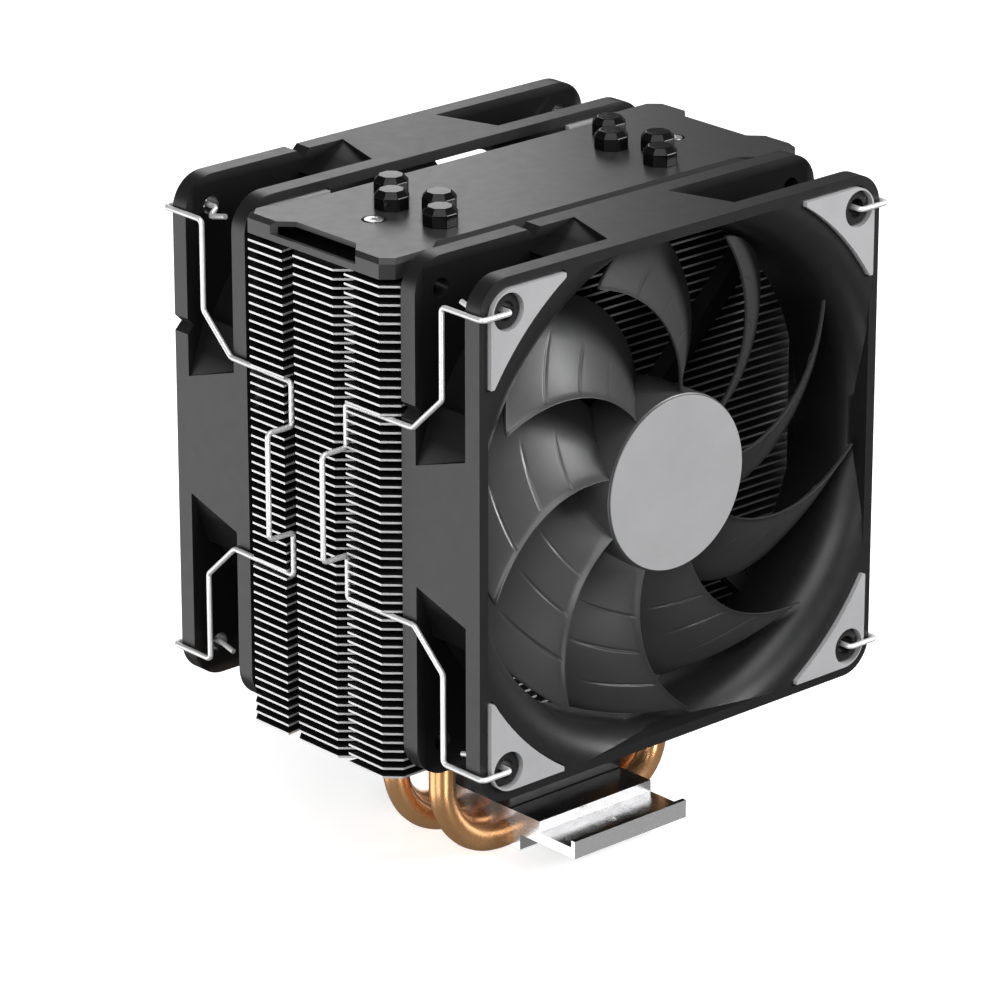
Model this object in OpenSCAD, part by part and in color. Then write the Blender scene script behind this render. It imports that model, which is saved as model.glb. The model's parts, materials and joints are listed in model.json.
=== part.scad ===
// Twin-fan tower cooler for a computer processor, in millimetres.
// Origin: centre of the contact face under the base. +Z points up, air flows along +Y, and
// the spring clips sit on the -X and +X sides.

/* [Fans] */
// Width and height of a fan frame
fan_size = 120; // [118:1:122]
// Depth of a fan frame
fan_depth = 25; // [24:0.5:26]
// Distance between the frame's screw holes
fan_hole_pitch = 105; // [104:0.5:106]
// Diameter of the frame's screw holes
fan_hole_d = 4.5; // [4.3:0.1:5]
// Height of the fans' axis above the contact face
fan_height = 94; // [92:0.5:98]
// Number of blades on an impeller
blade_count = 9; // [7:1:9]

/* [Fins] */
// Number of fins in the stack
fin_count = 56; // [40:2:56]
// Distance from one fin to the next
fin_pitch = 2.07; // [1.95:0.01:2.1]
// Thickness of a fin
fin_t = 0.5; // [0.3:0.05:0.5]
// Width of a fin along X
fin_w = 125; // [123:0.5:127]
// Depth of a fin along Y
fin_d = 50; // [50:0.5:52]

/* [Heat pipes] */
// Outer diameter of a heat pipe
pipe_d = 6; // [5.5:0.1:6.2]
// Distance between neighbouring pipes along Y
pipe_pitch = 8; // [7.6:0.1:8.2]
// Mean distance of the upright legs from the middle
leg_x = 32.9; // [32:0.1:34]
// Sideways shift of every second pipe
leg_shift = 3.4; // [3:0.1:3.6]

/* [Base] */
// Length of the base along X
base_l = 34.8; // [34:0.1:36]
// Width of the base along Y, over both bracket channels
base_w = 71; // [70:0.5:72]

/* [Clips] */
// Diameter of the spring wire
wire_d = 1.25; // [1:0.05:1.25]
// Length of the finger handle
handle_l = 25; // [20:1:28]

/* [Hidden] */
$fn = 64;
eps = 0.01;

// Places of the two fans: the pads hold the frames off the fins
pad_proud = 1;
front_face_y = -fin_d / 2 - pad_proud - fan_depth;
rear_face_y = fin_d / 2 + pad_proud;

// Fan frame
frame_r = 8;
flange_t = 4.5;
throat_r = 56.5;
tube_r = 59.3;
mouth_r = 65;
mouth_half = 57.5;
mouth_depth = 9;
rear_mouth_depth = 4;
band_front = 19;
band_rear = 14;
ramp_end = 27;
ramp_drop = 5;
notch_depth = 2.6;
notch_at = 25.7;
hole_at = fan_hole_pitch / 2;

// Corner pads
pad_half = 57.5;
pad_r = 6;
pad_tip = 36;
pad_arc_r = 67;
pad_hole_d = 8.5;
pad_t = 2;
pad_gap = 0.35;
boss_ring_d = 7.4;

// Motor, measured from the frame's front face
hub_r = 20.5;
hub_front = 2.2;
hub_rear = 17.5;
hub_wall = 1.6;
hub_boss_r = 3.4;
hub_boss_rear = 7;
disc_r = 20;
disc_t = 0.4;
yoke_r = 18.8;
yoke_wall = 1;
yoke_front = 3.9;
yoke_rear = 16.4;
magnet_t = 2.1;
magnet_front = 6.2;
shaft_r = 1.5;
shaft_front = 3.9;
shaft_rear = 21.9;
bearing_run = 0.03;
sleeve_r = 3;
sleeve_front = 8;
sleeve_rear = 21;
tower_r = 4.4;
plate_front = 22;
plate_r = 20;
plate_rim_front = 18.4;
core_r = 15;
core_front = 8.8;
core_rear = 13.4;
coil_front = 7.8;
coil_rear = 14.6;
board_front = 17.2;
board_t = 1.2;
ring_at = 21.2;
ring_t = 0.4;
strut_w = 4.2;
strut_front = 20.6;
strut_count = 4;

// Impeller blades: lead edge, chord and depth from root to tip
blade_root_r = 19.6;
blade_tip_r = 55.4;
blade_lead_root = -34.5;
blade_lead_tip = -4.5;
blade_sweep_power = 1.5;
blade_chord_root = 38.5;
blade_chord_tip = 33.1;
blade_front_root = 2.6;
blade_front_tip = 2;
blade_rear_root = 16.5;
blade_rear_tip = 18.5;
blade_t = 1.1;
blade_rows = 8;
blade_cols = 6;

// Fin outline: a hook-shaped notch on each side holds the clips
notch_near = 6.65;
notch_in = 10.9;
notch_out = 10.35;
notch_x = 4.6;
fin_corner_x = 3.3;
fin_corner_y = 3.2;
pipe_fit = 0.05;
fin_rest_below = 30;

// Heat pipes
pipe_z = 2.6;
bend_wide = 17;
bend_tight = 12;
pipe_top = 155;
pipe_shift = [-leg_shift, leg_shift, -leg_shift, leg_shift];

// Top cover
cover_bottom = 148.4;
cover_top = 152.8;
cover_wall = 1.2;
cover_bevel = 1;
cover_y = 24.2;
cover_corner_x = 2.6;
cover_corner_y = 2.4;
cover_cut_x = 4;
cover_cut_in = 10;
cover_cut_out = 14.2;
cover_cut_z = 149.9;
tab_y = 20.4;
tab_in = 45;
tab_out = 51;
tab_drop = 1.6;
cap_r = 4.1;
cap_top_r = 2.9;
cap_side_h = 2.9;
cap_h = 4.2;
screw_x = 44.9;
screw_head_r = 2.2;
screw_r = 1;

// Base profile
lip_t = 1.2;
lip_bottom = 3.8;
lip_top = 8.1;
channel_floor = 6.4;
channel_wall_y = 23.7;
block_top = 9.2;
foot_y = 17.2;
plate_y = 13.7;
plate_top = 12;
tap_r = 1.25;
channel_y = (base_w / 2 - lip_t + channel_wall_y) / 2;

// Clip wire path, outward from the hook
clip_gap = 0.08;
clip_y_over = fan_depth + 2 * pad_proud + fin_d / 2 + wire_d / 2 + clip_gap;
clip_x_side = fan_size / 2 + wire_d / 2 + clip_gap;
clip_x_notch = 61.3;
clip_x_handle = 68.2;
clip_y_notch = 9.2;
clip_y_mid = 39.9;
clip_y_flange = 30.5;
clip_z_bend = 31.5;
clip_z_run = 11 * fin_pitch;
clip_tail = 8;
clip_curl_x = 2;
clip_curl_z = 1.7;
clip_tip_l = 5.5;
clip_tip_rise = 1.3;
wire_sides = 10;

// Moves a piece drawn along +Z, front face at 0, on to a fan's axis along +Y
module at_fan(face_y) {
    translate([0, face_y, fan_height]) rotate([-90, 0, 0]) children();
}

module ring(inner_r, outer_r, from, to) {
    translate([0, 0, from]) difference() {
        cylinder(h = to - from, r = outer_r);
        translate([0, 0, -eps]) cylinder(h = to - from + 2 * eps, r = inner_r);
    }
}

module disc(r, from, to) {
    translate([0, 0, from]) cylinder(h = to - from, r = r);
}

module rounded_square(half, r) {
    difference() {
        square(2 * half, center = true);
        for (sx = [-1, 1], sy = [-1, 1]) translate([sx * half, sy * half]) difference() {
            square(2 * r, center = true);
            translate([-sx * r, -sy * r]) circle(r);
        }
    }
}

module four_corners() {
    for (sx = [0, 1], sy = [0, 1]) mirror([sx, 0]) mirror([0, sy]) children();
}

// ---- Base and heat pipes ----

module bar_along_x(length) {
    rotate([90, 0, 90]) translate([0, 0, -length / 2]) linear_extrude(length) children();
}

module base_half_profile() {
    polygon([
        [0, 0], [foot_y, 0], [foot_y, lip_bottom], [base_w / 2, lip_bottom],
        [base_w / 2, lip_top], [base_w / 2 - lip_t, lip_top], [base_w / 2 - lip_t, channel_floor],
        [channel_wall_y, channel_floor], [channel_wall_y, block_top], [0, block_top]
    ]);
}

module base_block() {
    color("gainsboro") difference() {
        union() {
            bar_along_x(base_l) base_half_profile();
            mirror([0, 1, 0]) bar_along_x(base_l) base_half_profile();
        }
        for (i = [0:3]) translate([0, pipe_y(i), pipe_z]) rotate([0, 90, 0])
            cylinder(h = 2 * base_l, r = pipe_d / 2, center = true);
        for (side = [-1, 1]) translate([0, side * channel_y, 0])
            cylinder(h = 2 * block_top, r = tap_r);
    }
}

module base_top_plate() {
    color("dimgray") translate([-base_l / 2, -plate_y, block_top])
        cube([base_l, 2 * plate_y, plate_top - block_top]);
}

function pipe_y(i) = (i - 1.5) * pipe_pitch;

// One upright leg with its bend, drawn for the right side
module pipe_leg(x, bend) {
    translate([x, 0, pipe_z + bend]) cylinder(h = pipe_top - pipe_z - bend, r = pipe_d / 2);
    translate([x - bend, 0, pipe_z + bend]) rotate([90, 0, 0]) rotate_extrude(angle = -90)
        translate([bend, 0]) circle(pipe_d / 2);
    translate([0, 0, pipe_z]) rotate([0, 90, 0]) cylinder(h = x - bend, r = pipe_d / 2);
}

module heat_pipe(i) {
    shift = pipe_shift[i];
    right_bend = shift > 0 ? bend_wide : bend_tight;
    left_bend = shift > 0 ? bend_tight : bend_wide;
    color("peru") translate([0, pipe_y(i), 0]) difference() {
        union() {
            pipe_leg(leg_x + shift, right_bend);
            mirror([1, 0, 0]) pipe_leg(leg_x - shift, left_bend);
        }
        translate([-50, -10, -20]) cube([100, 20, 20]);
    }
}

// ---- Fins and cover ----

module fin_quarter() {
    x = fin_w / 2;
    y = fin_d / 2;
    polygon([
        [0, 0], [x, 0], [x, notch_near], [x - notch_x, notch_in], [x, notch_out],
        [x, y - fin_corner_y], [x - fin_corner_x, y], [0, y]
    ]);
}

module at_pipe_legs() {
    for (i = [0:3], side = [-1, 1]) translate([side * leg_x + pipe_shift[i], pipe_y(i), 0])
        children();
}

module fin_plate() {
    linear_extrude(fin_t) difference() {
        union() four_corners() fin_quarter();
        at_pipe_legs() circle(pipe_d / 2 + pipe_fit);
        for (side = [-1, 1]) translate([side * screw_x, 0]) circle(screw_r + pipe_fit);
    }
}

module fin_stack() {
    color("silver") for (k = [0:fin_count - 1])
        translate([0, 0, fan_height + (k - fin_rest_below + 0.5) * fin_pitch - fin_t / 2])
            fin_plate();
}

module cover_quarter(inset) {
    x = fin_w / 2 - inset;
    y = cover_y - inset;
    polygon([[0, 0], [x, 0], [x, y - cover_corner_y], [x - cover_corner_x, y], [0, y]]);
}

module cover_layer(inset, from, to) {
    translate([0, 0, from]) linear_extrude(to - from) four_corners() cover_quarter(inset);
}

module cover_side_cut() {
    x = fin_w / 2 + 1;
    run = cover_cut_x + 1;
    grow = (cover_cut_out - cover_cut_in) / cover_cut_x;
    translate([0, 0, cover_cut_z]) linear_extrude(cover_top) polygon([
        [x - run, -cover_cut_in], [x, -cover_cut_in - grow * run],
        [x, cover_cut_in + grow * run], [x - run, cover_cut_in]
    ]);
}

// Wedge taken off the front edge, leaving a sloping tab between two slanted ends
module cover_tab_cut() {
    reach = cover_y + 1;
    slope = tab_drop / (cover_y - tab_y);
    intersection() {
        bar_along_x(2 * tab_out) polygon([
            [tab_y, cover_top], [tab_y, cover_top + 1], [reach, cover_top + 1],
            [reach, cover_top - slope * (reach - tab_y)]
        ]);
        linear_extrude(2 * cover_top) polygon([
            [-tab_out, reach], [-tab_in, tab_y], [tab_in, tab_y], [tab_out, reach]
        ]);
    }
}

module top_cover() {
    color("dimgray") difference() {
        hull() {
            cover_layer(0, cover_bottom, cover_top - cover_bevel);
            cover_layer(cover_bevel, cover_bottom, cover_top);
        }
        difference() {
            cover_layer(cover_wall, cover_bottom - 1, cover_top - cover_wall);
            for (side = [-1, 1]) translate([-fin_w / 2, side * fin_d / 2 - 6, cover_cut_z + 0.3])
                cube([fin_w, 12, 5]);
        }
        for (turn = [0, 180]) rotate(turn) {
            cover_side_cut();
            cover_tab_cut();
        }
        at_pipe_legs() cylinder(h = 2 * cover_top, r = pipe_d / 2 + pipe_fit);
        for (side = [-1, 1]) translate([side * screw_x, 0, 0]) {
            cylinder(h = 2 * cover_top, r = screw_r + pipe_fit);
            translate([0, 0, cover_top - 0.6]) cylinder(h = 2, r = screw_head_r + 0.6);
        }
    }
}

module pipe_cap() {
    difference() {
        union() {
            cylinder(h = cap_side_h, r = cap_r, $fn = 8);
            translate([0, 0, cap_side_h])
                cylinder(h = cap_h - cap_side_h, r1 = cap_r, r2 = cap_top_r, $fn = 8);
        }
        translate([0, 0, -eps])
            cylinder(h = pipe_top - cover_top + eps, r = pipe_d / 2 + pipe_fit);
    }
}

module pipe_caps() {
    color("black") at_pipe_legs() translate([0, 0, cover_top]) rotate(22.5) pipe_cap();
}

module cover_screws() {
    color("darkgray") for (side = [-1, 1]) translate([side * screw_x, 0, cover_top]) {
        translate([0, 0, -0.6]) difference() {
            cylinder(h = 0.7, r = screw_head_r);
            for (turn = [0, 90]) rotate(turn) translate([-1.2, -0.25, 0.3]) cube([2.4, 0.5, 1]);
        }
        translate([0, 0, -12]) cylinder(h = 11.4, r = screw_r);
    }
}

// ---- Fan frame ----

// Space inside a bell mouth that narrows from the face to the throat
module mouth(depth) {
    steps = 8;
    lip = mouth_r - throat_r;
    wall = [for (k = [0:steps]) let (a = 90 * k / steps)
        [throat_r + lip * (1 - sin(a)), depth * (1 - cos(a))]];
    intersection() {
        rotate_extrude() polygon(concat([[0, -1], [mouth_r, -1]], wall, [[0, depth]]));
        cube([2 * mouth_half, 2 * mouth_half, 3 * depth], center = true);
    }
}

// Solid band in the middle of the top side, with slanted ends and a ramp down to the tube
module side_band() {
    translate([0, -fan_size / 2, 0]) rotate([-90, 0, 0]) linear_extrude(12) polygon([
        [-band_front, -flange_t], [band_front, -flange_t],
        [band_rear, flange_t - fan_depth], [-band_rear, flange_t - fan_depth]
    ]);
    translate([0, 0, flange_t]) linear_extrude(fan_depth - 2 * flange_t) polygon([
        [-band_rear, -fan_size / 2 + 0.4], [band_rear, -fan_size / 2 + 0.4],
        [ramp_end, -fan_size / 2 + ramp_drop], [-ramp_end, -fan_size / 2 + ramp_drop]
    ]);
}

module side_recess() {
    difference() {
        translate([0, 0, flange_t]) linear_extrude(fan_depth - 2 * flange_t) difference() {
            square(fan_size + 10, center = true);
            circle(tube_r);
        }
        for (turn = [0:90:270]) rotate(turn) side_band();
    }
}

module cable_notch() {
    translate([-notch_at, -fan_size / 2, fan_depth - flange_t / 2]) rotate(45)
        cube([notch_depth, notch_depth, 2 * flange_t], center = true);
}

module pad_shape(grow) {
    half = pad_half + grow;
    r = pad_r + grow;
    difference() {
        intersection() {
            rounded_square(half, r);
            translate([pad_tip - grow, pad_tip - grow]) square(fan_size);
        }
        circle(pad_arc_r - grow);
    }
}

module motor_tower() {
    ring(sleeve_r, tower_r, sleeve_front, plate_front + eps);
    disc(plate_r, plate_front, fan_depth);
    ring(plate_r - 1.2, plate_r, plate_rim_front, plate_front + eps);
}

module strut() {
    translate([plate_r - 1, -strut_w / 2, strut_front])
        cube([throat_r - plate_r + 2.4, strut_w, fan_depth - strut_front]);
}

module frame_shell() {
    difference() {
        linear_extrude(fan_depth) rounded_square(fan_size / 2, frame_r);
        translate([0, 0, -1]) cylinder(h = fan_depth + 2, r = throat_r);
        mouth(mouth_depth);
        translate([0, 0, fan_depth]) mirror([0, 0, 1]) mouth(rear_mouth_depth);
        side_recess();
        four_corners() {
            translate([hole_at, hole_at, -1]) cylinder(h = fan_depth + 2, r = fan_hole_d / 2);
            for (z = [0, fan_depth]) translate([0, 0, z - pad_proud]) linear_extrude(2 * pad_proud)
                difference() {
                    pad_shape(pad_gap);
                    translate([hole_at, hole_at]) circle(boss_ring_d / 2);
                }
        }
        cable_notch();
        rotate(-90) mirror([1, 0]) cable_notch();
    }
}

module fan_frame() {
    color("dimgray") {
        frame_shell();
        motor_tower();
        for (k = [0:strut_count - 1]) rotate(360 / strut_count * (k + 0.5)) strut();
    }
}

module fan_pads() {
    color("silver") for (z = [-pad_proud, fan_depth - pad_proud])
        translate([0, 0, z]) linear_extrude(pad_t) four_corners() difference() {
            pad_shape(0);
            translate([hole_at, hole_at]) circle(pad_hole_d / 2);
        }
}

// ---- Fan rotor and motor ----

function mix(a, b, s) = a + (b - a) * s;

// A point on the blade: s runs from root to tip, t from lead edge to trailing edge
function blade_point(s, t, side) = let (
    r = mix(blade_root_r, blade_tip_r, s),
    lead = mix(blade_lead_root, blade_lead_tip, pow(s, blade_sweep_power)),
    a = lead - mix(blade_chord_root, blade_chord_tip, s) * t,
    front = mix(blade_front_root, blade_front_tip, s),
    rear = mix(blade_rear_root, blade_rear_tip, s),
    thin = 0.35 + 0.65 * sin(180 * t)
) [r * cos(a), -r * sin(a), mix(front, rear, pow(t, 0.9)) + side * thin * blade_t / 2];

module blade() {
    row = blade_cols + 1;
    count = (blade_rows + 1) * row;
    skin = [for (side = [-1, 1], i = [0:blade_rows], j = [0:blade_cols])
        blade_point(i / blade_rows, j / blade_cols, side)];
    front = [for (i = [0:blade_rows - 1], j = [0:blade_cols - 1]) let (a = i * row + j)
        each [[a, a + row, a + 1], [a + 1, a + row, a + row + 1]]];
    back = [for (f = front) [f[2] + count, f[1] + count, f[0] + count]];
    edge = concat(
        [for (j = [0:blade_cols - 1]) j],
        [for (i = [0:blade_rows - 1]) i * row + blade_cols],
        [for (j = [blade_cols:-1:1]) blade_rows * row + j],
        [for (i = [blade_rows:-1:1]) i * row]
    );
    rim = [for (k = [0:len(edge) - 1]) let (a = edge[k], b = edge[(k + 1) % len(edge)])
        each [[a, b, a + count], [b, b + count, a + count]]];
    polyhedron(points = skin, faces = concat(front, back, rim));
}

module impeller() {
    color("dimgray") {
        difference() {
            disc(hub_r, hub_front, hub_rear);
            disc(hub_r - hub_wall, hub_front + hub_wall, hub_rear + 1);
        }
        ring(shaft_r, hub_boss_r, hub_front + eps, hub_boss_rear);
        for (k = [0:blade_count - 1]) rotate(360 / blade_count * k) blade();
    }
}

module hub_disc() {
    color("darkgray") disc(disc_r, hub_front - disc_t, hub_front);
}

module rotor_yoke() {
    color("slategray") {
        ring(yoke_r - yoke_wall, yoke_r, yoke_front, yoke_rear);
        ring(hub_boss_r + 0.1, yoke_r - yoke_wall + eps, yoke_front, yoke_front + yoke_wall);
    }
}

module magnet_ring() {
    magnet_r = yoke_r - yoke_wall - 0.05;
    color("black") ring(magnet_r - magnet_t, magnet_r, magnet_front, yoke_rear);
}

module shaft() {
    color("lightsteelblue") difference() {
        disc(shaft_r, shaft_front, shaft_rear);
        ring(shaft_r - 0.4, shaft_r + 1, ring_at - 0.05, ring_at + ring_t + 0.05);
    }
}

module retaining_ring() {
    color("gray") difference() {
        ring(shaft_r - 0.38, shaft_r + 0.9, ring_at, ring_at + ring_t);
        translate([0, -0.6, ring_at - 1]) cube([5, 1.2, 3]);
    }
}

module bearing_sleeve() {
    color("goldenrod") ring(shaft_r + bearing_run, sleeve_r - 0.02, sleeve_front, sleeve_rear);
}

module stator_pole() {
    translate([tower_r + 1.6, -1.8, 0]) square([core_r - tower_r - 3, 3.6]);
    intersection() {
        difference() {
            circle(core_r);
            circle(core_r - 1.6);
        }
        rotate(-38) square(2 * core_r);
        rotate(-52) square(2 * core_r);
    }
}

module stator_core() {
    color("slategray") translate([0, 0, core_front]) linear_extrude(core_rear - core_front)
        difference() {
            union() {
                circle(tower_r + 2);
                for (turn = [0:90:270]) rotate(turn) stator_pole();
            }
            circle(tower_r + 0.02);
        }
}

module coils() {
    reach = core_r - tower_r - 4.4;
    color("chocolate") for (turn = [0:90:270]) rotate(turn) translate([tower_r + 2.3, 0, 0])
        difference() {
            translate([0, -3.6, coil_front]) cube([reach, 7.2, coil_rear - coil_front]);
            translate([-1, -1.85, core_front - 0.05])
                cube([reach + 2, 3.7, core_rear - core_front + 0.1]);
        }
}

module circuit_board() {
    color("darkgreen") ring(tower_r + 0.05, yoke_r - 1.6, board_front, board_front + board_t);
}

// ---- Spring clips ----

function unit(v) = v / norm(v);

// Normal of the mitre plane at a point of the path, or of its end
function mitre(path, k) =
    k == len(path) - 1 ? unit(path[k] - path[k - 1])
        : unit(unit(path[k] - path[k - 1]) + unit(path[k + 1] - path[k]));

// Slides each point of a ring along one segment to the mitre plane at its far end
function slide(ring, path, k) = let (along = path[k] - path[k - 1], n = mitre(path, k))
    [for (q = ring) q + along * (((path[k] - q) * n) / (along * n))];

function wire_rings(path, k, ring) =
    k == len(path) ? [ring] : concat([ring], wire_rings(path, k + 1, slide(ring, path, k)));

// Wire of even thickness with mitred bends
module wire(path) {
    along = unit(path[1] - path[0]);
    side = unit(cross(along, [0, 1, 0.3]));
    up = cross(along, side);
    first = [for (i = [0:wire_sides - 1]) let (a = 360 * i / wire_sides)
        path[0] + wire_d / 2 * (cos(a) * side + sin(a) * up)];
    last = (len(path) - 1) * wire_sides;
    polyhedron(
        points = [for (ring = wire_rings(path, 1, first)) each ring],
        faces = concat(
            [[for (i = [0:wire_sides - 1]) i]],
            [for (k = [0:len(path) - 2], i = [0:wire_sides - 1])
                let (a = k * wire_sides + i, b = k * wire_sides + (i + 1) % wire_sides)
                each [[a, a + wire_sides, b], [b, a + wire_sides, b + wire_sides]]],
            [[for (i = [wire_sides - 1:-1:0]) last + i]]
        )
    );
}

function mirrored_down(p) = [p[0], p[1], -p[2]];

// Upper half of the wire, from its hooked end to the handle, drawn for the front right side
clip_half_path = [
    [hole_at + clip_curl_x, clip_tail - clip_y_over + clip_tip_l, hole_at - clip_curl_z + clip_tip_rise],
    [hole_at + clip_curl_x, clip_tail - clip_y_over, hole_at - clip_curl_z],
    [hole_at, clip_tail - clip_y_over, hole_at],
    [hole_at, -clip_y_over, hole_at],
    [clip_x_side, -clip_y_over, hole_at],
    [clip_x_side, -clip_y_mid, hole_at],
    [clip_x_side, -clip_y_mid, clip_z_bend],
    [clip_x_side, -clip_y_flange, clip_z_run],
    [clip_x_notch, -clip_y_notch, clip_z_run],
    [clip_x_notch, -clip_y_notch, handle_l / 2],
    [clip_x_handle, -clip_y_notch, handle_l / 2]
];
clip_path = concat(
    clip_half_path,
    [for (k = [len(clip_half_path) - 1:-1:0]) mirrored_down(clip_half_path[k])]
);

module clip() {
    color("whitesmoke") translate([0, 0, fan_height]) wire(clip_path);
}

// ---- Nodes ----

base_block();
base_top_plate();
heat_pipe(0);  // heat_pipe_1
heat_pipe(1);  // heat_pipe_2
heat_pipe(2);  // heat_pipe_3
heat_pipe(3);  // heat_pipe_4
fin_stack();
top_cover();
pipe_caps();
cover_screws();
at_fan(front_face_y) fan_frame();  // front_fan_frame
at_fan(front_face_y) fan_pads();  // front_fan_pads
at_fan(front_face_y) impeller();  // front_impeller
at_fan(front_face_y) hub_disc();  // front_hub_disc
at_fan(front_face_y) rotor_yoke();  // front_rotor_yoke
at_fan(front_face_y) magnet_ring();  // front_magnet_ring
at_fan(front_face_y) shaft();  // front_shaft
at_fan(front_face_y) retaining_ring();  // front_retaining_ring
at_fan(front_face_y) bearing_sleeve();  // front_bearing_sleeve
at_fan(front_face_y) stator_core();  // front_stator_core
at_fan(front_face_y) coils();  // front_coils
at_fan(front_face_y) circuit_board();  // front_circuit_board
at_fan(rear_face_y) fan_frame();  // rear_fan_frame
at_fan(rear_face_y) fan_pads();  // rear_fan_pads
at_fan(rear_face_y) impeller();  // rear_impeller
at_fan(rear_face_y) hub_disc();  // rear_hub_disc
at_fan(rear_face_y) rotor_yoke();  // rear_rotor_yoke
at_fan(rear_face_y) magnet_ring();  // rear_magnet_ring
at_fan(rear_face_y) shaft();  // rear_shaft
at_fan(rear_face_y) retaining_ring();  // rear_retaining_ring
at_fan(rear_face_y) bearing_sleeve();  // rear_bearing_sleeve
at_fan(rear_face_y) stator_core();  // rear_stator_core
at_fan(rear_face_y) coils();  // rear_coils
at_fan(rear_face_y) circuit_board();  // rear_circuit_board
mirror([1, 0, 0]) clip();  // clip_front_left
clip();  // clip_front_right
mirror([1, 0, 0]) mirror([0, 1, 0]) clip();  // clip_rear_left
mirror([0, 1, 0]) clip();  // clip_rear_right
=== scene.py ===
import json
import math

import bmesh
import bpy
from mathutils import Matrix, Vector


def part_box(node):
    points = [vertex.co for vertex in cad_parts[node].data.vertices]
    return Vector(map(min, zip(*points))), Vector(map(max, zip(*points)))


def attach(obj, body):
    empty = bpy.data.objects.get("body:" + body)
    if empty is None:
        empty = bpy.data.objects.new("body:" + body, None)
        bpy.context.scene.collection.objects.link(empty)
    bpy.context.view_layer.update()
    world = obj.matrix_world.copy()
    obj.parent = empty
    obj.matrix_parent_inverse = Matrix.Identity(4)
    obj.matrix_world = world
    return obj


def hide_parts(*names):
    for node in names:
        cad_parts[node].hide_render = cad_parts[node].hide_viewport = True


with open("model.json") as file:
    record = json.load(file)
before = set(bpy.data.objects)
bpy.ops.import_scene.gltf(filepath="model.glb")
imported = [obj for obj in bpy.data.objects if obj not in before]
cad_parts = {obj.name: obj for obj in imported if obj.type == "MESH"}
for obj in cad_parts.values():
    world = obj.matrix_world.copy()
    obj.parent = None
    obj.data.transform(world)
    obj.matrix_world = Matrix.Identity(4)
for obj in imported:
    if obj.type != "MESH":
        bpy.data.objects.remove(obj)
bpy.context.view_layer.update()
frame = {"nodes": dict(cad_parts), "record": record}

MM = 0.001
FULL_TURN = 2 * math.pi

# ---------------------------------------------------------------- places from the frame


def middle(node):
    low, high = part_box(node)
    return (low + high) / 2


FAN_AXIS_Z = middle("front_fan_frame").z / MM
FAN_FACE_Y = {
    "front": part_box("front_fan_frame")[0].y / MM,
    "rear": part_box("rear_fan_frame")[0].y / MM,
}
FAN_MIDDLE_Y = middle("rear_fan_frame").y / MM


def fan_place(which):
    """From a fan's own millimetres, face at 0 and air along +Z, to the row's metres."""
    place = Matrix.Translation((0, FAN_FACE_Y[which] * MM, FAN_AXIS_Z * MM))
    return place @ Matrix.Rotation(-math.pi / 2, 4, "X") @ Matrix.Scale(MM, 4)


# ---------------------------------------------------------------- mesh helpers

MERGE_DISTANCE = 0.002  # millimetres
FLAT_DEGREES = 0.6
BEND_SHARE = 0.49  # the most of a straight stretch that one bend may take


def make_piece(name, bm, material, body, replaces=()):
    """Turn a finished bmesh, in metres, into a piece that rides on a body."""
    bmesh.ops.recalc_face_normals(bm, faces=bm.faces)
    mesh = bpy.data.meshes.new(name)
    bm.to_mesh(mesh)
    bm.free()
    mesh.materials.append(material)
    piece = bpy.data.objects.new(name, mesh)
    bpy.context.scene.collection.objects.link(piece)
    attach(piece, body)
    if replaces:
        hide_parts(*replaces)
    return piece


def smooth_by_angle(bm, degrees):
    """Smooth shading everywhere but over edges sharper than the angle."""
    for face in bm.faces:
        face.smooth = True
    for edge in bm.edges:
        sharp = len(edge.link_faces) != 2 or edge.calc_face_angle(0) > math.radians(degrees)
        edge.smooth = not sharp


def merged_copy(node):
    """A joined-up copy of a CAD node's mesh, with its flat faces made whole."""
    bm = bmesh.new()
    bm.from_mesh(frame["nodes"][node].data)
    bmesh.ops.remove_doubles(bm, verts=bm.verts, dist=MERGE_DISTANCE * MM)
    bmesh.ops.dissolve_limit(
        bm, angle_limit=math.radians(FLAT_DEGREES), verts=bm.verts, edges=bm.edges, delimit={"NORMAL"}
    )
    return bm


def bevel_edges(bm, edges, width, segments=2):
    bmesh.ops.bevel(
        bm, geom=edges, offset=width, offset_type="OFFSET", segments=segments,
        profile=0.5, affect="EDGES", material=-1, clamp_overlap=True,
    )


def sharp_edges(bm, degrees):
    limit = math.radians(degrees)
    return [e for e in bm.edges if len(e.link_faces) == 2 and e.calc_face_angle(0) > limit]


def arc_bend(before, corner, after, radius, steps):
    """Points on the arc that rounds one bend of a path."""
    to_before = (before - corner).normalized()
    to_after = (after - corner).normalized()
    half = to_before.angle(to_after) / 2
    shorter = min((before - corner).length, (after - corner).length)
    reach = min(radius / math.tan(half), shorter * BEND_SHARE)
    radius = reach * math.tan(half)
    centre = corner + (to_before + to_after).normalized() * (radius / math.sin(half))
    start = corner + to_before * reach - centre
    end = corner + to_after * reach - centre
    turn = start.angle(end)
    points = []
    for k in range(steps + 1):
        from_start = math.sin(turn * (1 - k / steps))
        from_end = math.sin(turn * k / steps)
        points.append(centre + (start * from_start + end * from_end) / math.sin(turn))
    return points


def rounded_path(points, radii, steps=6):
    points = [Vector(p) for p in points]
    path = [points[0]]
    for k in range(1, len(points) - 1):
        path += arc_bend(points[k - 1], points[k], points[k + 1], radii[k - 1], steps)
    return path + [points[-1]]


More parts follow.
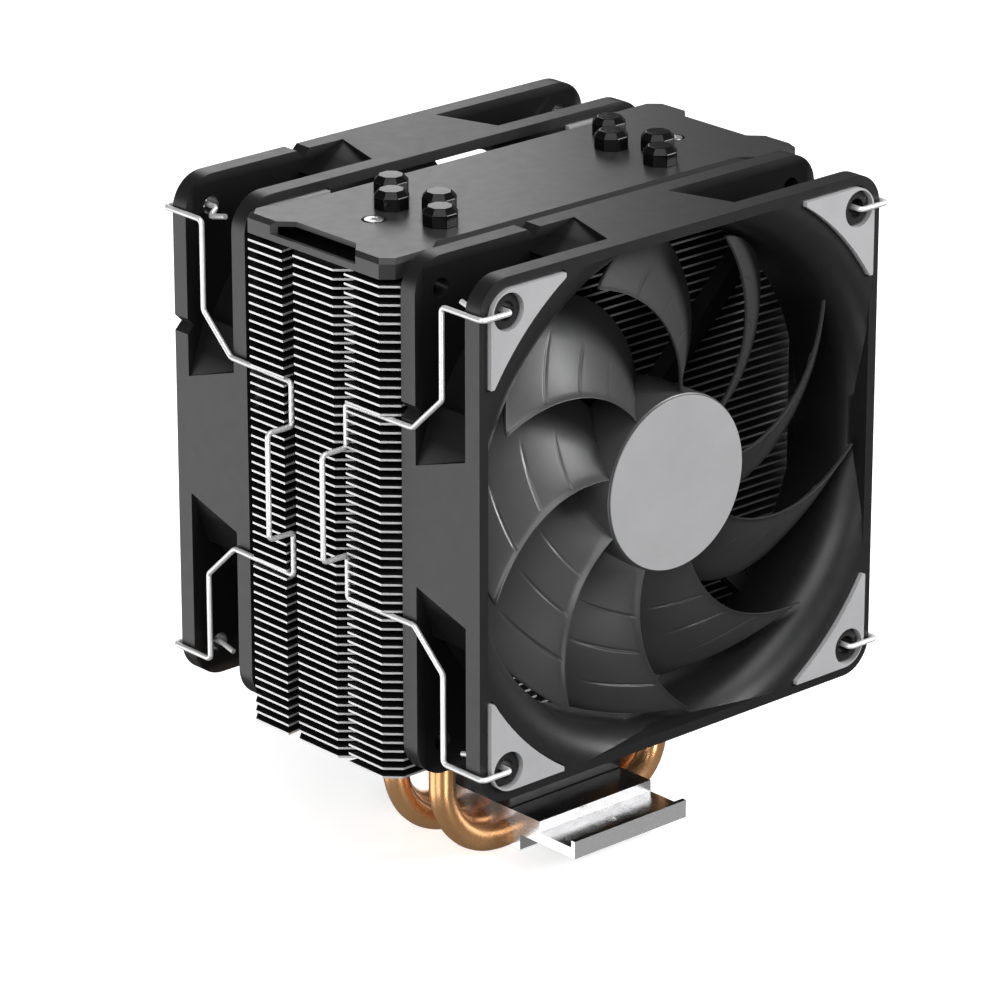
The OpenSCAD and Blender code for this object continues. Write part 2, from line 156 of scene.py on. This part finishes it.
def swept_wire(path, radius, ring_steps):
    """A round wire along a path, as a bmesh with closed ends, in the path's units."""
    curve = bpy.data.curves.new("wire_path", "CURVE")
    curve.dimensions = "3D"
    curve.bevel_depth = radius
    curve.bevel_resolution = ring_steps
    curve.use_fill_caps = True
    spline = curve.splines.new("POLY")
    spline.points.add(len(path) - 1)
    for point, place in zip(spline.points, path):
        point.co = (*place, 1)
    holder = bpy.data.objects.new("wire_path", curve)
    bpy.context.scene.collection.objects.link(holder)
    bpy.context.view_layer.update()
    shaped = holder.evaluated_get(bpy.context.evaluated_depsgraph_get())
    mesh = bpy.data.meshes.new_from_object(shaped)
    bm = bmesh.new()
    bm.from_mesh(mesh)
    bpy.data.objects.remove(holder)
    bpy.data.curves.remove(curve)
    bpy.data.meshes.remove(mesh)
    bmesh.ops.remove_doubles(bm, verts=bm.verts, dist=radius * 0.01)
    return bm


def turned_solid(profile, steps):
    """Spin a closed outline of (radius, height) pairs about Z."""
    bm = bmesh.new()
    verts = [bm.verts.new((r, 0, h)) for r, h in profile]
    edges = [bm.edges.new((verts[k], verts[(k + 1) % len(verts)])) for k in range(len(verts))]
    bmesh.ops.spin(
        bm, geom=verts + edges, cent=(0, 0, 0), axis=(0, 0, 1), angle=FULL_TURN,
        steps=steps, use_merge=True,
    )
    bmesh.ops.remove_doubles(bm, verts=bm.verts, dist=1e-4)
    return bm


# ---------------------------------------------------------------- material helpers


class Finish:
    """A Principled material whose patterns read Object coordinates, in millimetres."""

    def __init__(self, name, colour, roughness, metallic=0.0, **sockets):
        self.material = bpy.data.materials.new(name)
        self.material.use_nodes = True
        self.tree = self.material.node_tree
        self.shader = self.tree.nodes["Principled BSDF"]
        self.shader.inputs["Base Color"].default_value = (*colour, 1)
        self.shader.inputs["Roughness"].default_value = roughness
        self.shader.inputs["Metallic"].default_value = metallic
        for socket, value in sockets.items():
            self.shader.inputs[socket.replace("_", " ")].default_value = value
        self.coords = self.tree.nodes.new("ShaderNodeTexCoord")

    def link(self, start, end):
        self.tree.links.new(start, end)

    def mapped(self, scale):
        mapping = self.tree.nodes.new("ShaderNodeMapping")
        mapping.inputs["Scale"].default_value = [s / MM for s in scale]
        self.link(self.coords.outputs["Object"], mapping.inputs["Vector"])
        return mapping.outputs["Vector"]

    def noise(self, size, detail=3, stretch=(1, 1, 1)):
        """Noise whose spots are about `size` millimetres across, longer along a stretched axis."""
        node = self.tree.nodes.new("ShaderNodeTexNoise")
        node.inputs["Scale"].default_value = 1
        node.inputs["Detail"].default_value = detail
        self.link(self.mapped([1 / (size * s) for s in stretch]), node.inputs["Vector"])
        return node.outputs["Fac"]

    def ranged(self, value, low, high, from_low=0.3, from_high=0.7):
        node = self.tree.nodes.new("ShaderNodeMapRange")
        node.inputs["From Min"].default_value = from_low
        node.inputs["From Max"].default_value = from_high
        node.inputs["To Min"].default_value = low
        node.inputs["To Max"].default_value = high
        self.link(value, node.inputs["Value"])
        return node.outputs["Result"]

    def maths(self, operation, *values):
        node = self.tree.nodes.new("ShaderNodeMath")
        node.operation = operation
        for socket, value in zip(node.inputs, values):
            if isinstance(value, (int, float)):
                socket.default_value = value
            else:
                self.link(value, socket)
        return node.outputs["Value"]

    def vary_roughness(self, value, low, high):
        self.link(self.ranged(value, low, high), self.shader.inputs["Roughness"])

    def vary_colour(self, value, low, high):
        ramp = self.tree.nodes.new("ShaderNodeMix")
        ramp.data_type = "RGBA"
        ramp.inputs["A"].default_value = (*low, 1)
        ramp.inputs["B"].default_value = (*high, 1)
        self.link(self.ranged(value, 0, 1), ramp.inputs["Factor"])
        self.link(ramp.outputs["Result"], self.shader.inputs["Base Color"])

    def bump(self, value, depth, strength=1.0):
        node = self.tree.nodes.new("ShaderNodeBump")
        node.inputs["Distance"].default_value = depth * MM
        node.inputs["Strength"].default_value = strength
        self.link(value, node.inputs["Height"])
        self.link(node.outputs["Normal"], self.shader.inputs["Normal"])


def grey(value, tint=0.0):
    return (value, value, value * (1 + tint))


def moulded_plastic(name, low, high, roughness, grain):
    finish = Finish(name, grey(low), roughness, **{"Specular_IOR_Level": 0.5})
    finish.vary_colour(finish.noise(9), grey(low, 0.02), grey(high, 0.02))
    finish.vary_roughness(finish.noise(3, 4), roughness - 0.02, roughness + 0.02)
    finish.bump(finish.noise(grain, 2), 0.004)
    return finish.material


def gloss_black(name):
    finish = Finish(name, grey(0.004), 0.14, **{"Specular_IOR_Level": 0.18})
    finish.vary_roughness(finish.noise(1.5), 0.12, 0.18)
    return finish.material


def drawn_metal(name, low, high, roughness, stretch, size=0.4, metallic=1.0):
    """Bare metal with fine lines along the stretched axis."""
    finish = Finish(name, low, roughness, metallic)
    lines = finish.noise(size, 4, stretch)
    finish.vary_colour(finish.noise(6), low, high)
    finish.vary_roughness(lines, roughness - 0.07, roughness + 0.08)
    finish.bump(lines, 0.002)
    return finish.material


def metal_with_painted_light_and_shade(name, edge, face, roughness, metallic):
    """Painted light and shade: upright faces painted a light grey for the light they catch, level
    faces a dark grey for the shade and dark reflections on them.
    """
    finish = Finish(name, grey(edge), roughness, metallic)
    normal = finish.tree.nodes.new("ShaderNodeNewGeometry")
    split = finish.tree.nodes.new("ShaderNodeSeparateXYZ")
    finish.link(normal.outputs["True Normal"], split.inputs["Vector"])
    colour = finish.tree.nodes.new("ShaderNodeMix")
    colour.data_type = "RGBA"
    colour.inputs["A"].default_value = (*grey(edge, 0.01), 1)
    colour.inputs["B"].default_value = (*grey(face, 0.03), 1)
    # painted shade on level faces, painted light on upright ones, by how far the true normal points
    # up
    finish.link(finish.maths("ABSOLUTE", split.outputs["Z"]), colour.inputs["Factor"])
    finish.link(colour.outputs["Result"], finish.shader.inputs["Base Color"])
    finish.vary_roughness(finish.noise(0.5, 3, (8, 8, 1)), roughness - 0.05, roughness + 0.05)
    return finish.material


# where the painted shade in the frame's corner hollows sits, in millimetres
HOLLOW_HALF_DEPTH = 8.3
HOLLOW_INNER_R = 58.5
PAINTED_SHADE_FULL_AT = 57.5
PAINTED_SHADE_GONE_AT = 59.7


def frame_plastic_with_painted_hollow_shade():
    """The frame plastic, with painted shade: its specular turned down in the corner hollows, where
    shade falls.
    """
    finish = Finish("frame_plastic", grey(0.0065), 0.4)
    finish.vary_colour(finish.noise(9), grey(0.0062, 0.02), grey(0.007, 0.02))
    finish.vary_roughness(finish.noise(3, 4), 0.38, 0.42)
    finish.bump(finish.noise(0.35, 2), 0.008)
    split = finish.tree.nodes.new("ShaderNodeSeparateXYZ")
    finish.link(finish.coords.outputs["Object"], split.inputs["Vector"])
    across = finish.maths("ABSOLUTE", split.outputs["X"])
    height = finish.maths("ABSOLUTE", finish.maths("SUBTRACT", split.outputs["Z"], FAN_AXIS_Z * MM))
    reach = finish.maths("SQRT", finish.maths("ADD", finish.maths("POWER", across, 2),
                                              finish.maths("POWER", height, 2)))
    from_stack = finish.maths("ABSOLUTE", split.outputs["Y"])
    depth = finish.maths("SUBTRACT", from_stack, FAN_MIDDLE_Y * MM)
    between = finish.maths("LESS_THAN", finish.maths("ABSOLUTE", depth), HOLLOW_HALF_DEPTH * MM)
    sunk = finish.ranged(finish.maths("MAXIMUM", across, height), 1, 0,
                         PAINTED_SHADE_FULL_AT * MM, PAINTED_SHADE_GONE_AT * MM)
    past_duct = finish.maths("GREATER_THAN", reach, HOLLOW_INNER_R * MM)
    outside = finish.maths("MULTIPLY", past_duct, between)
    painted_hollow_shade = finish.maths("MULTIPLY", sunk, outside)
    # painted shade: the specular level drops from 0.5 to 0.05 down in the corner hollows
    finish.link(finish.ranged(painted_hollow_shade, 0.5, 0.05, 0, 1), finish.shader.inputs["Specular IOR Level"])
    return finish.material


def copper_metal():
    finish = Finish("copper", (0.9, 0.46, 0.2), 0.28, 0.8)
    finish.vary_colour(finish.noise(14, 4), (0.86, 0.43, 0.18), (0.93, 0.52, 0.24))
    finish.vary_roughness(finish.noise(5, 2), 0.25, 0.3)
    return finish.material


FRAME_PLASTIC = frame_plastic_with_painted_hollow_shade()
BLADE_PLASTIC = moulded_plastic("blade_plastic", 0.045, 0.047, 0.32, 0.8)
DISC_GREY = moulded_plastic("disc_grey", 0.27, 0.29, 0.45, 0.3)
PAD_RUBBER = moulded_plastic("pad_rubber", 0.29, 0.32, 0.6, 0.4)
COVER_BLACK = moulded_plastic("cover_black_metal", 0.022, 0.024, 0.36, 0.25)
# painted reflection: the base's top plate is painted near black for the dark surroundings its
# polished top reflects
BASE_TOP_PAINTED_REFLECTION = moulded_plastic("black_anodised", 0.012, 0.014, 0.3, 0.3)
# painted light and shade on the base: level faces such as the channel floor dark, upright faces
# bright
BASE_METAL = metal_with_painted_light_and_shade("base_aluminium", 0.8, 0.02, 0.24, 0.75)
CAP_METAL = gloss_black("cap_black_nickel")
SCREW_STEEL = drawn_metal("screw_steel", grey(0.5), grey(0.6), 0.3, (1, 1, 1))
CLIP_STEEL = drawn_metal("clip_wire", grey(0.78), grey(0.84), 0.42, (1, 1, 8), 4, 0.6)
YOKE_STEEL = drawn_metal("yoke_steel", grey(0.45), grey(0.55), 0.35, (1, 6, 1))
SHAFT_STEEL = drawn_metal("shaft_steel", grey(0.7), grey(0.75), 0.15, (1, 8, 1))
BRONZE = drawn_metal("bearing_bronze", (0.62, 0.4, 0.16), (0.7, 0.47, 0.2), 0.35, (1, 5, 1))
MAGNET = moulded_plastic("magnet", 0.03, 0.045, 0.6, 0.5)
COIL_COPPER = drawn_metal("coil_copper", (0.5, 0.2, 0.08), (0.66, 0.28, 0.1), 0.35, (9, 1, 1), 0.3)
BOARD_GREEN = moulded_plastic("board_green", 0.05, 0.06, 0.4, 0.4)
# painted shade between the fins on their level faces, painted light on their upright cut edges
FIN_METAL = metal_with_painted_light_and_shade("fin_aluminium", 0.62, 0.045, 0.45, 0.75)
COPPER = copper_metal()

SLOT_MATERIAL = {
    "base_aluminium": BASE_METAL, "black_anodised": BASE_TOP_PAINTED_REFLECTION, "fin_aluminium": FIN_METAL,
    "cover_black_metal": COVER_BLACK, "cap_black_nickel": CAP_METAL, "screw_steel": SCREW_STEEL,
    "copper": COPPER, "frame_plastic": FRAME_PLASTIC, "pad_rubber": PAD_RUBBER,
    "blade_plastic": BLADE_PLASTIC, "disc_grey": DISC_GREY, "yoke_steel": YOKE_STEEL,
    "magnet": MAGNET, "shaft_steel": SHAFT_STEEL, "bearing_bronze": BRONZE,
    "coil_copper": COIL_COPPER, "board_green": BOARD_GREEN, "clip_wire": CLIP_STEEL,
}
for entry in frame["record"]["subparts"]:
    node = frame["nodes"][entry["node"]]
    node.data.materials.clear()
    node.data.materials.append(SLOT_MATERIAL[entry["material_slot"]])

# ---------------------------------------------------------------- impeller

BLADES = 9
HUB_R = 20.5
HUB_FRONT = 2.2
HUB_REAR = 17.5
HUB_WALL = 1.6
BLADE_ROOT_R = 19.8
BLADE_TIP_R = 55.3
BLADE_HALF_T = 0.5
LEAD_ROOT = -34.5
LEAD_TIP = -4.5
SWEEP_POWER = 1.5
CHORD_ROOT = 38.5
CHORD_TIP = 33.1
FRONT_ROOT = 2.6
FRONT_TIP = 2.0
REAR_ROOT = 16.5
REAR_TIP = 18.5
RIM_WIDTH = 1.0
RIM_RISE = 0.22
GROOVE_RADII = (31.0, 39.0, 47.0)
GROOVE_HALF_WIDTH = 0.38
GROOVE_DEPTH = 0.3
GROOVE_REACH = 0.62
GROOVE_DRIFT = 2.5  # how far a groove runs outward from lead to trailing edge
GROOVE_START = 1.2
DEPTH_POWER = 0.9
EDGE_THINNING = 0.35
BLADE_BEVEL = 0.18


def mix(a, b, s):
    return a + (b - a) * s


def blade_point(radius, t):
    """A point on the blade's middle surface, t from the lead edge to the trailing edge."""
    s = (radius - BLADE_ROOT_R) / (BLADE_TIP_R - BLADE_ROOT_R)
    lead = mix(LEAD_ROOT, LEAD_TIP, s ** SWEEP_POWER if s > 0 else 0)
    angle = math.radians(lead - mix(CHORD_ROOT, CHORD_TIP, s) * t)
    depth = mix(mix(FRONT_ROOT, FRONT_TIP, s), mix(REAR_ROOT, REAR_TIP, s), t ** DEPTH_POWER)
    return Vector((radius * math.cos(angle), -radius * math.sin(angle), depth))


def blade_normal(radius, t):
    step = 0.01
    along = blade_point(radius + step, t) - blade_point(radius - step, t)
    across = blade_point(radius, min(t + step, 1)) - blade_point(radius, max(t - step, 0))
    normal = along.cross(across).normalized()
    return normal if normal.z < 0 else -normal


def blade_relief(radius, t):
    """How far the front skin stands off the plain blade: a lead-edge rim and three grooves."""
    chord_mm = radius * math.radians(mix(CHORD_ROOT, CHORD_TIP, 0.5))
    from_lead = t * chord_mm
    rise = RIM_RISE * max(0, 1 - (from_lead / RIM_WIDTH) ** 2) if from_lead < RIM_WIDTH else 0
    for groove in GROOVE_RADII:
        off = abs(radius - groove - GROOVE_DRIFT * t)
        if off < GROOVE_HALF_WIDTH and from_lead > GROOVE_START:
            fade = max(0, 1 - t / GROOVE_REACH)
            dip = math.cos(off / GROOVE_HALF_WIDTH * math.pi / 2)
            rise -= GROOVE_DEPTH * dip * min(1, 2 * fade)
    return rise


def blade_radii():
    """Rows from root to tip, closer together where a groove runs."""
    radii = [mix(BLADE_ROOT_R, BLADE_TIP_R, k / 56) for k in range(57)]
    for groove in GROOVE_RADII:
        radii += [groove + GROOVE_HALF_WIDTH * k / 2 for k in range(-3, 11)]
    radii = sorted(radii)
    return [r for k, r in enumerate(radii) if k in (0, len(radii) - 1) or r - radii[k - 1] > 0.08]


def one_blade():
    bm = bmesh.new()
    radii = blade_radii()
    chord_steps = [0, 0.008, 0.016, 0.03, 0.045] + [0.07 + 0.93 * k / 26 for k in range(27)]
    bmesh.ops.create_grid(bm, x_segments=len(radii) - 1, y_segments=len(chord_steps) - 1, size=0.5)
    for v in bm.verts:
        radius = radii[round((v.co.x + 0.5) * (len(radii) - 1))]
        t = chord_steps[round((v.co.y + 0.5) * (len(chord_steps) - 1))]
        thin = EDGE_THINNING + (1 - EDGE_THINNING) * math.sin(math.pi * t)
        lift = BLADE_HALF_T * thin + blade_relief(radius, t)
        v.co = blade_point(radius, t) + blade_normal(radius, t) * lift
    front = list(bm.faces)
    made = bmesh.ops.duplicate(bm, geom=bm.verts[:] + bm.edges[:] + front)
    back = [f for f in made["geom"] if isinstance(f, bmesh.types.BMFace)]
    for v in {v for f in back for v in f.verts}:
        v.co.z += 2 * BLADE_HALF_T * 0.9
    rims = [e for e in bm.edges if len(e.link_faces) == 1]
    bmesh.ops.bridge_loops(bm, edges=rims)
    bmesh.ops.recalc_face_normals(bm, faces=bm.faces)
    bevel_edges(bm, sharp_edges(bm, 50), BLADE_BEVEL)
    smooth_by_angle(bm, 45)
    return bm


def hub_shell():
    outline = [
        (0, HUB_FRONT), (HUB_R - 0.5, HUB_FRONT), (HUB_R - 0.1, HUB_FRONT + 0.2),
        (HUB_R, HUB_FRONT + 0.6), (HUB_R, HUB_REAR - 0.3), (HUB_R - 0.3, HUB_REAR),
        (HUB_R - HUB_WALL, HUB_REAR), (HUB_R - HUB_WALL, HUB_FRONT + HUB_WALL),
        (0, HUB_FRONT + HUB_WALL),
    ]
    bm = turned_solid(outline, 96)
    smooth_by_angle(bm, 40)
    return bm


def joined(parts):
    """One bmesh from several, each with the places it is repeated at."""
    whole = bmesh.new()
    for part, places in parts:
        source = bpy.data.meshes.new("part")
        part.to_mesh(source)
        part.free()
        for place in places:
            copy = source.copy()
            copy.transform(place)
            whole.from_mesh(copy)
            bpy.data.meshes.remove(copy)
        bpy.data.meshes.remove(source)
    return whole


def impeller(which):
    turns = [Matrix.Rotation(FULL_TURN * k / BLADES, 4, "Z") for k in range(BLADES)]
    bm = joined([(hub_shell(), [Matrix.Identity(4)]), (one_blade(), turns)])
    bm.transform(fan_place(which))
    make_piece(f"{which}_impeller_blades", bm, BLADE_PLASTIC, f"{which}_rotor",
               [f"{which}_impeller"])


# ---------------------------------------------------------------- clips and pipes

WIRE_R = 0.625
CLIP_PATH = [
    (54.5, -39.205, 52.1), (54.5, -44.705, 50.8), (52.5, -44.705, 52.5), (52.5, -52.705, 52.5),
    (60.705, -52.705, 52.5), (60.705, -39.9, 52.5), (60.705, -39.9, 31.5), (60.705, -30.5, 22.77),
    (61.3, -9.2, 22.77), (61.3, -9.2, 12.5), (68.2, -9.2, 12.5),
]
CLIP_BENDS = [0.9, 0.9, 1.0, 1.2, 1.2, 1.5, 2.0, 1.0, 1.0, 1.2]


def clip(end, side):
    sy = -1 if end == "rear" else 1
    sx = -1 if side == "left" else 1
    upper = [(sx * x, sy * y, z) for x, y, z in CLIP_PATH]
    lower = [(x, y, -z) for x, y, z in reversed(upper)]
    path = rounded_path(upper + lower, CLIP_BENDS + CLIP_BENDS[::-1])
    bm = swept_wire(path, WIRE_R, 3)
    bm.transform(Matrix.Translation((0, 0, FAN_AXIS_Z * MM)) @ Matrix.Scale(MM, 4))
    smooth_by_angle(bm, 50)
    name = f"clip_{end}_{side}"
    make_piece(f"{name}_wire", bm, CLIP_STEEL, f"{name}_body", [name])


PIPE_R = 3.0
PIPE_Z = 2.6
PIPE_TOP = 155.0
PIPE_PITCH = 8.0
LEG_X = 32.9
LEG_SHIFT = 3.4
BEND_WIDE = 17.0
BEND_TIGHT = 12.0


def heat_pipe(index):
    y = (index - 1.5) * PIPE_PITCH
    shift = LEG_SHIFT if index % 2 else -LEG_SHIFT
    left, right = shift - LEG_X, shift + LEG_X
    bends = [BEND_TIGHT, BEND_WIDE] if shift > 0 else [BEND_WIDE, BEND_TIGHT]
    corners = [(left, y, PIPE_TOP), (left, y, PIPE_Z), (right, y, PIPE_Z), (right, y, PIPE_TOP)]
    bm = swept_wire(rounded_path(corners, bends, 24), PIPE_R, 8)
    for v in bm.verts:
        v.co.z = max(v.co.z, 0)
    bm.transform(Matrix.Scale(MM, 4))
    smooth_by_angle(bm, 50)
    name = f"heat_pipe_{index + 1}"
    make_piece(f"{name}_copper", bm, COPPER, "root", [name])


# ---------------------------------------------------------------- hard parts with rounded edges


def softened(node, material, body, width, degrees=35):
    """A copy of a CAD node with its sharper edges rounded by a bevel, in millimetres."""
    bm = merged_copy(node)
    bevel_edges(bm, sharp_edges(bm, degrees), width * MM)
    smooth_by_angle(bm, 30)
    piece = make_piece(f"{node}_shell", bm, material, body, [node])
    flat_faces = piece.modifiers.new("flat_faces", "WEIGHTED_NORMAL")
    flat_faces.weight = 50
    flat_faces.keep_sharp = True


for end in ("front", "rear"):
    softened(f"{end}_fan_frame", FRAME_PLASTIC, "root", 0.45)
    softened(f"{end}_fan_pads", PAD_RUBBER, "root", 0.2)
    softened(f"{end}_hub_disc", DISC_GREY, f"{end}_rotor", 0.12)
    impeller(end)
    for side in ("left", "right"):
        clip(end, side)
for number in range(4):
    heat_pipe(number)
softened("top_cover", COVER_BLACK, "root", 0.12, 20)
softened("pipe_caps", CAP_METAL, "root", 0.22, 20)
softened("cover_screws", SCREW_STEEL, "root", 0.08)
softened("base_block", BASE_METAL, "root", 0.15)
softened("base_top_plate", BASE_TOP_PAINTED_REFLECTION, "root", 0.3)

# ---------------------------------------------------------------- camera, light and floor

VIEW_AZIMUTH = -42.13
VIEW_ELEVATION = 20.93
VIEW_DISTANCE = 1.25
LENS = 196.6
SENSOR_WIDTH = 36
VIEW_TARGET = Vector((0.0013, 0.0103, 0.0728))
LIGHT_AIM = Vector((0, 0, 0.09))


def spherical(azimuth, elevation):
    a, e = math.radians(azimuth), math.radians(elevation)
    return Vector((math.sin(a) * math.cos(e), -math.cos(a) * math.cos(e), math.sin(e)))


def add_camera():
    data = bpy.data.cameras.new("camera")
    data.lens = LENS
    data.sensor_width = SENSOR_WIDTH
    data.clip_end = 20
    camera = bpy.data.objects.new("camera", data)
    back = spherical(VIEW_AZIMUTH, VIEW_ELEVATION)
    camera.location = VIEW_TARGET + back * VIEW_DISTANCE
    camera.rotation_euler = back.to_track_quat("Z", "Y").to_euler()
    bpy.context.scene.collection.objects.link(camera)
    bpy.context.scene.camera = camera


def add_softbox(name, azimuth, elevation, distance, size, power):
    """A rectangular softbox seen from the cooler at this azimuth and elevation."""
    data = bpy.data.lights.new(name, "AREA")
    data.shape = "RECTANGLE"
    data.size, data.size_y = size
    data.energy = power
    lamp = bpy.data.objects.new(name, data)
    away = spherical(azimuth, elevation)
    lamp.location = LIGHT_AIM + away * distance
    lamp.rotation_euler = away.to_track_quat("Z", "Y").to_euler()
    bpy.context.scene.collection.objects.link(lamp)


def add_floor():
    """A glowing white table: it is seen, but throws no light of its own onto the cooler."""
    bm = bmesh.new()
    bmesh.ops.create_grid(bm, x_segments=1, y_segments=1, size=6)
    bmesh.ops.translate(bm, vec=(0, 0, -0.0003), verts=bm.verts)
    mesh = bpy.data.meshes.new("floor")
    bm.to_mesh(mesh)
    bm.free()
    finish = Finish("floor_white", grey(0.8), 0.6)
    finish.shader.inputs["Emission Color"].default_value = (1, 1, 1, 1)
    finish.shader.inputs["Emission Strength"].default_value = 0.72
    mesh.materials.append(finish.material)
    floor = bpy.data.objects.new("floor", mesh)
    bpy.context.scene.collection.objects.link(floor)
    floor.visible_diffuse = False
    floor.visible_glossy = False
    floor.visible_shadow = False


def add_world():
    world = bpy.data.worlds.new("studio")
    world.use_nodes = True
    world.node_tree.nodes["Background"].inputs["Color"].default_value = (1, 1, 1, 1)
    world.node_tree.nodes["Background"].inputs["Strength"].default_value = 0.12
    bpy.context.scene.world = world


add_camera()
add_world()
add_floor()
add_softbox("overhead_softbox", -25, 68, 0.9, (0.8, 0.6), 5)
add_softbox("far_softbox", 147, 27, 0.7, (0.24, 0.29), 0.52)
add_softbox("left_low_softbox", -138, -15, 0.8, (0.7, 0.6), 2.6)
add_softbox("front_softbox", 43, 22, 1.2, (0.5, 0.5), 16)
add_softbox("camera_side_softbox", -55, 30, 1.2, (0.6, 0.6), 5)
add_softbox("low_front_softbox", -14, -18, 0.9, (0.25, 0.3), 2)
add_softbox("low_left_softbox", -80, -12, 0.9, (0.5, 0.5), 3)
bpy.context.scene.view_settings.view_transform = "Standard"
